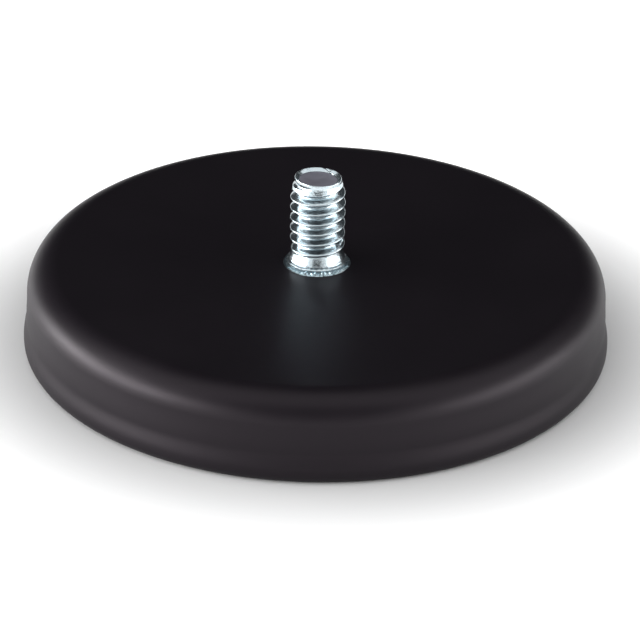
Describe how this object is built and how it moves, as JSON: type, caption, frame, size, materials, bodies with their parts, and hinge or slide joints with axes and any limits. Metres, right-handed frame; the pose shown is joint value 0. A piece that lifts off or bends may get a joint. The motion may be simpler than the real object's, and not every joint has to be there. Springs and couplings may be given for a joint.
{
  "type": "round base magnet with threaded stud",
  "caption": "Shallow black painted steel cup with a ring magnet inside and a short zinc plated threaded stud standing up from its centre.",
  "frame": {"origin": "centre of the open rim's plane, which is the pulling face", "axes": "+Z along the stud, out of the closed side of the cup; X and Y lie in the rim plane"},
  "size_m": [0.067, 0.067, 0.0212],
  "materials": {
    "plated_steel": "satin zinc plate",
    "black_paint": "satin",
    "zinc_stud": "bright zinc plate",
    "ferrite": "ground, matte",
    "epoxy": "semi-gloss"
  },
  "bodies": {
    "root": {"steel_cup": "plated_steel", "paint_coat": "black_paint", "threaded_stud": "zinc_stud", "ring_magnet": "ferrite", "bond_film": "epoxy", "potting_ring": "epoxy"}
  },
  "joints": []
}
